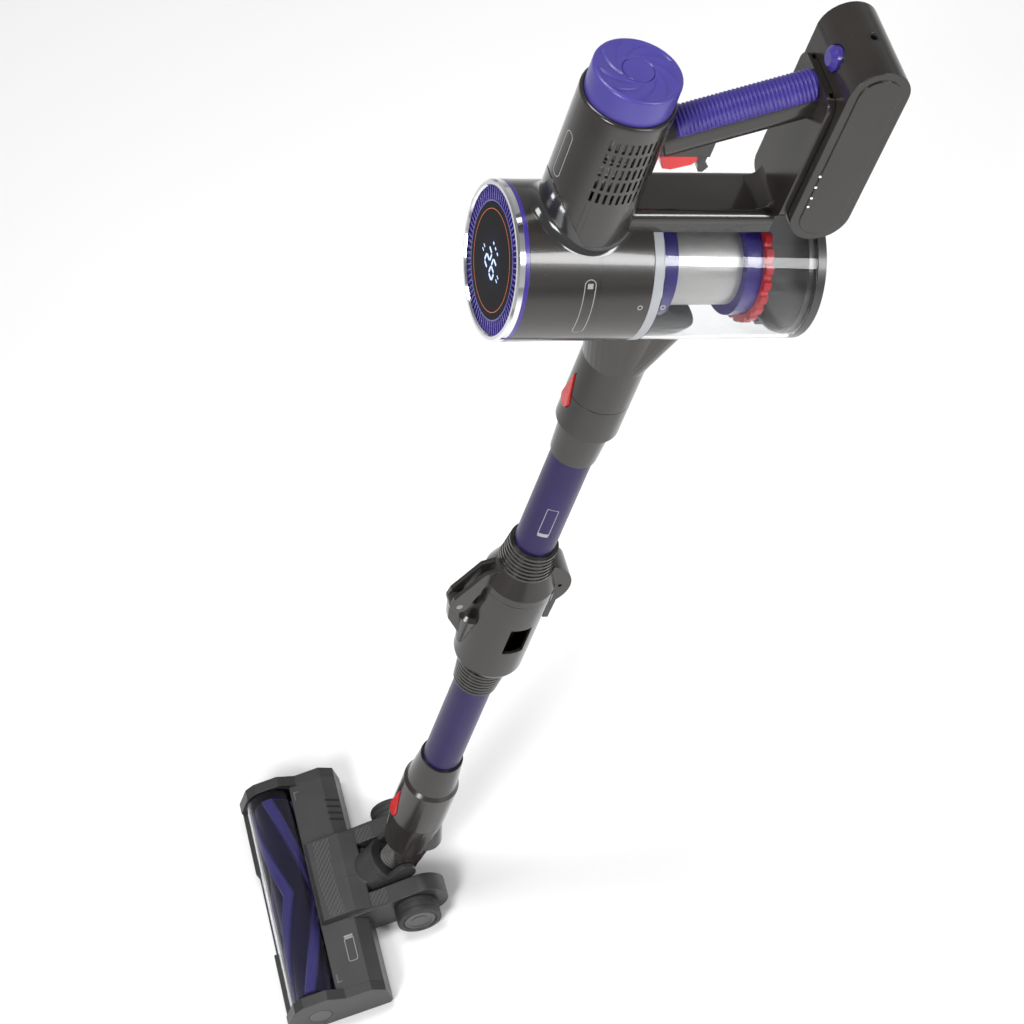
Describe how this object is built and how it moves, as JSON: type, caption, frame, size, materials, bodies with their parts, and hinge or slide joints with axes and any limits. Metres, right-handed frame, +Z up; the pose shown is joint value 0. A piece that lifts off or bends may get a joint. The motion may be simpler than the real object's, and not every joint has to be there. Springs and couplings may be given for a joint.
{
  "type": "cordless stick vacuum",
  "caption": "Cordless stick vacuum with a folding wand, clear dust bin, slide-off battery pack and a powered brush floor head on a swivelling neck.",
  "frame": {"origin": "middle of the hand grip", "axes": "+X forward towards the display and floor head, +Y to the user's left, +Z up; the wand leans back 30 degrees from upright with the floor head flat"},
  "size_m": [0.7852, 0.254, 1.0105],
  "materials": {
    "gloss_grey": "glossy warm dark grey plastic",
    "head_black": "satin black plastic",
    "violet_gloss": "glossy violet plastic",
    "violet_grip": "ribbed violet grip",
    "violet_tube": "anodised dark violet",
    "chrome": "polished",
    "display_glass": "black glass",
    "signal_red": "glossy red",
    "scraper_red": "soft red",
    "ring_grey": "mid grey",
    "bin_clear": "clear plastic",
    "window_clear": "smoked clear plastic",
    "mesh_steel": "fine woven mesh",
    "pin_steel": "turned steel",
    "hose_black": "corrugated black",
    "impeller_white": "white nylon",
    "filter_paper": "pleated filter paper",
    "board_green": "printed circuit board",
    "jack_black": "black socket",
    "light_white": "frosted light strip",
    "felt_grey": "felt strip",
    "brush_violet": "violet brush core",
    "bristle": "nylon bristles",
    "wheel_black": "satin black wheel"
  },
  "bodies": {
    "hand_unit": {"main_housing": "gloss_grey", "front_band": "violet_gloss", "chrome_bezel": "chrome", "fin_ring": "violet_gloss", "display_glass": "display_glass", "display_board": "head_black", "top_rail": "gloss_grey", "handle_body": "gloss_grey", "handle_grip": "violet_grip", "battery_receiver": "gloss_grey", "inlet_neck": "gloss_grey", "motor_can": "pin_steel", "motor_mount": "hose_black", "housing_screws": "pin_steel"},
    "trigger": {"trigger": "signal_red"},
    "impeller": {"impeller": "impeller_white"},
    "filter_cap": {"filter_cap": "violet_gloss", "exhaust_filter": "filter_paper"},
    "lock_ring": {"lock_ring": "ring_grey"},
    "dust_bin": {"bin_shell": "bin_clear"},
    "bin_lid": {"bin_lid": "head_black"},
    "lid_catch": {"lid_catch": "signal_red"},
    "dust_filter": {"filter_frame": "violet_gloss", "filter_mesh": "mesh_steel", "scraper_ring": "scraper_red"},
    "battery": {"battery_case": "gloss_grey", "battery_cells": "pin_steel", "battery_board": "board_green", "charging_jack": "jack_black"},
    "battery_release": {"battery_release": "violet_gloss"},
    "upper_wand": {"wand_socket": "gloss_grey", "upper_tube": "violet_tube", "elbow_yoke": "gloss_grey", "elbow_pin": "pin_steel"},
    "wand_release": {"wand_release": "signal_red"},
    "elbow_latch": {"elbow_latch": "gloss_grey"},
    "lower_wand": {"elbow_body": "gloss_grey", "elbow_hose": "hose_black", "lower_tube": "violet_tube", "lower_coupling": "gloss_grey"},
    "coupling_release": {"coupling_release": "signal_red"},
    "neck": {"neck_tube": "gloss_grey"},
    "fork": {"swivel_fork": "head_black", "pitch_pins": "pin_steel", "neck_hose": "hose_black"},
    "floor_head": {"head_housing": "gloss_grey", "end_caps": "head_black", "brush_window": "window_clear", "neck_cover": "head_black", "front_bumper": "head_black", "light_bar": "light_white", "sole_felt": "felt_grey", "head_screws": "pin_steel", "brush_motor": "pin_steel"},
    "brush_roll": {"brush_core": "brush_violet", "bristles": "bristle"},
    "wheel_left": {"wheel_left": "wheel_black"},
    "wheel_right": {"wheel_right": "wheel_black"},
    "end_lock": {"end_lock": "gloss_grey"}
  },
  "joints": [
    {"name": "trigger_pull", "type": "hinge", "parent": "hand_unit", "child": "trigger", "pos_m": [0.06247, 0, -0.00319], "axis": [0, 1, 0], "range_deg": [0, 6], "stiffness_Nm_per_rad": 0.05, "springref_deg": -11.46},
    {"name": "impeller_spin", "type": "hinge", "parent": "hand_unit", "child": "impeller", "pos_m": [0.12754, 0, -0.03491], "axis": [-0.5, 0, 0.866], "continuous": true},
    {"name": "cap_twist", "type": "hinge", "parent": "hand_unit", "child": "filter_cap", "pos_m": [0.07354, 0, 0.05862], "axis": [-0.5, 0, 0.866], "range_deg": [0, 40]},
    {"name": "lock_turn", "type": "hinge", "parent": "hand_unit", "child": "lock_ring", "pos_m": [0.11164, 0, -0.11337], "axis": [0.866, 0, 0.5], "range_deg": [0, 20]},
    {"name": "bin_slide", "type": "slide", "parent": "hand_unit", "child": "dust_bin", "axis": [-0.866, 0, -0.5], "range_m": [0, 0.13]},
    {"name": "lid_hinge", "type": "hinge", "parent": "dust_bin", "child": "bin_lid", "pos_m": [0.03535, 0, -0.22923], "axis": [0, -1, 0], "range_deg": [0, 95]},
    {"name": "catch_press", "type": "hinge", "parent": "dust_bin", "child": "lid_catch", "pos_m": [0.01118, -0.0628, -0.17137], "axis": [-0.5, 0, 0.866], "range_deg": [0, 6], "stiffness_Nm_per_rad": 0.02, "springref_deg": -11.46},
    {"name": "filter_twist", "type": "hinge", "parent": "hand_unit", "child": "dust_filter", "pos_m": [0.09259, 0, -0.12437], "axis": [0.866, 0, 0.5], "range_deg": [0, 30]},
    {"name": "battery_slide", "type": "slide", "parent": "hand_unit", "child": "battery", "axis": [-0.5, 0, 0.866], "range_m": [0, 0.115]},
    {"name": "battery_release_press", "type": "slide", "parent": "battery", "child": "battery_release", "axis": [-0.866, 0, -0.5], "range_m": [0, 0.0018], "stiffness_N_per_m": 500, "springref_m": -0.002},
    {"name": "wand_pull", "type": "slide", "parent": "hand_unit", "child": "upper_wand", "axis": [0.5, 0, -0.866], "range_m": [0, 0.04]},
    {"name": "wand_release_press", "type": "slide", "parent": "upper_wand", "child": "wand_release", "axis": [-0.866, 0, -0.5], "range_m": [0, 0.0011], "stiffness_N_per_m": 500, "springref_m": -0.002},
    {"name": "elbow_fold", "type": "hinge", "parent": "upper_wand", "child": "lower_wand", "pos_m": [0.34909, 0, -0.47164], "axis": [0, -1, 0], "range_deg": [0, 90], "deforming": ["elbow_hose"]},
    {"name": "latch_press", "type": "hinge", "parent": "upper_wand", "child": "elbow_latch", "pos_m": [0.26208, 0, -0.48493], "axis": [0, 1, 0], "range_deg": [0, 10], "stiffness_Nm_per_rad": 0.1, "springref_deg": -11.46},
    {"name": "coupling_release_press", "type": "slide", "parent": "lower_wand", "child": "coupling_release", "axis": [-0.866, 0, -0.5], "range_m": [0, 0.0011], "stiffness_N_per_m": 500, "springref_m": -0.002},
    {"name": "neck_pull", "type": "slide", "parent": "lower_wand", "child": "neck", "axis": [0.5, 0, -0.866], "range_m": [0, 0.04]},
    {"name": "neck_pitch", "type": "hinge", "parent": "neck", "child": "fork", "pos_m": [0.51759, 0, -0.86049], "axis": [0, 1, 0], "range_deg": [-30, 45], "deforming": ["neck_hose"]},
    {"name": "neck_swivel", "type": "hinge", "parent": "fork", "child": "floor_head", "pos_m": [0.51759, 0, -0.86049], "axis": [0.8192, 0, -0.5736], "range_deg": [-40, 40]},
    {"name": "brush_spin", "type": "hinge", "parent": "floor_head", "child": "brush_roll", "pos_m": [0.63759, 0, -0.88749], "axis": [0, 1, 0], "continuous": true},
    {"name": "wheel_left_spin", "type": "hinge", "parent": "floor_head", "child": "wheel_left", "pos_m": [0.52059, 0.056, -0.88919], "axis": [0, 1, 0], "continuous": true},
    {"name": "wheel_right_spin", "type": "hinge", "parent": "floor_head", "child": "wheel_right", "pos_m": [0.52059, -0.056, -0.88919], "axis": [0, 1, 0], "continuous": true},
    {"name": "end_lock_turn", "type": "hinge", "parent": "floor_head", "child": "end_lock", "pos_m": [0.63759, 0.125, -0.88749], "axis": [0, 1, 0], "range_deg": [0, 60]}
  ]
}
